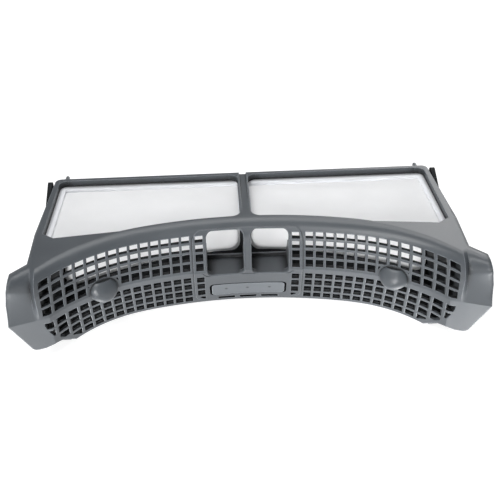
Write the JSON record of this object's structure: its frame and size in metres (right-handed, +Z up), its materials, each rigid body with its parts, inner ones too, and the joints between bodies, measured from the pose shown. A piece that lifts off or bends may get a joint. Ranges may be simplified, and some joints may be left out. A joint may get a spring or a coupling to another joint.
{
  "type": "tumble dryer lint filter",
  "caption": "Fold-open lint filter for a tumble dryer: a grey plastic shell with a curved grille, a grip panel with a release bar, and white mesh windows.",
  "frame": {"origin": "under the middle of the closed filter, on the plane it rests on", "axes": "+X along the width to the right seen from the grille, +Y from the grille to the hinge, +Z up"},
  "size_m": [0.4068, 0.1867, 0.09],
  "materials": {
    "grey_plastic": "satin moulded",
    "dark_plastic": "satin moulded",
    "light_plastic": "satin moulded",
    "white_mesh": "fine woven mesh"
  },
  "bodies": {
    "rear_half": {"rear_frame": "dark_plastic", "rear_mesh_left": "white_mesh", "rear_mesh_right": "white_mesh"},
    "front_half": {"front_shell": "grey_plastic", "front_mesh_left": "white_mesh", "front_mesh_right": "white_mesh"},
    "release_bar": {"latch_bar": "light_plastic"}
  },
  "joints": [
    {"name": "fold", "type": "hinge", "parent": "rear_half", "child": "front_half", "pos_m": [0, 0.08055, 0.0835], "axis": [-1, 0, 0], "range_deg": [0, 95]},
    {"name": "release", "type": "slide", "parent": "front_half", "child": "release_bar", "axis": [0, 1, 0], "range_m": [0, 0.0025], "stiffness_N_per_m": 60}
  ]
}
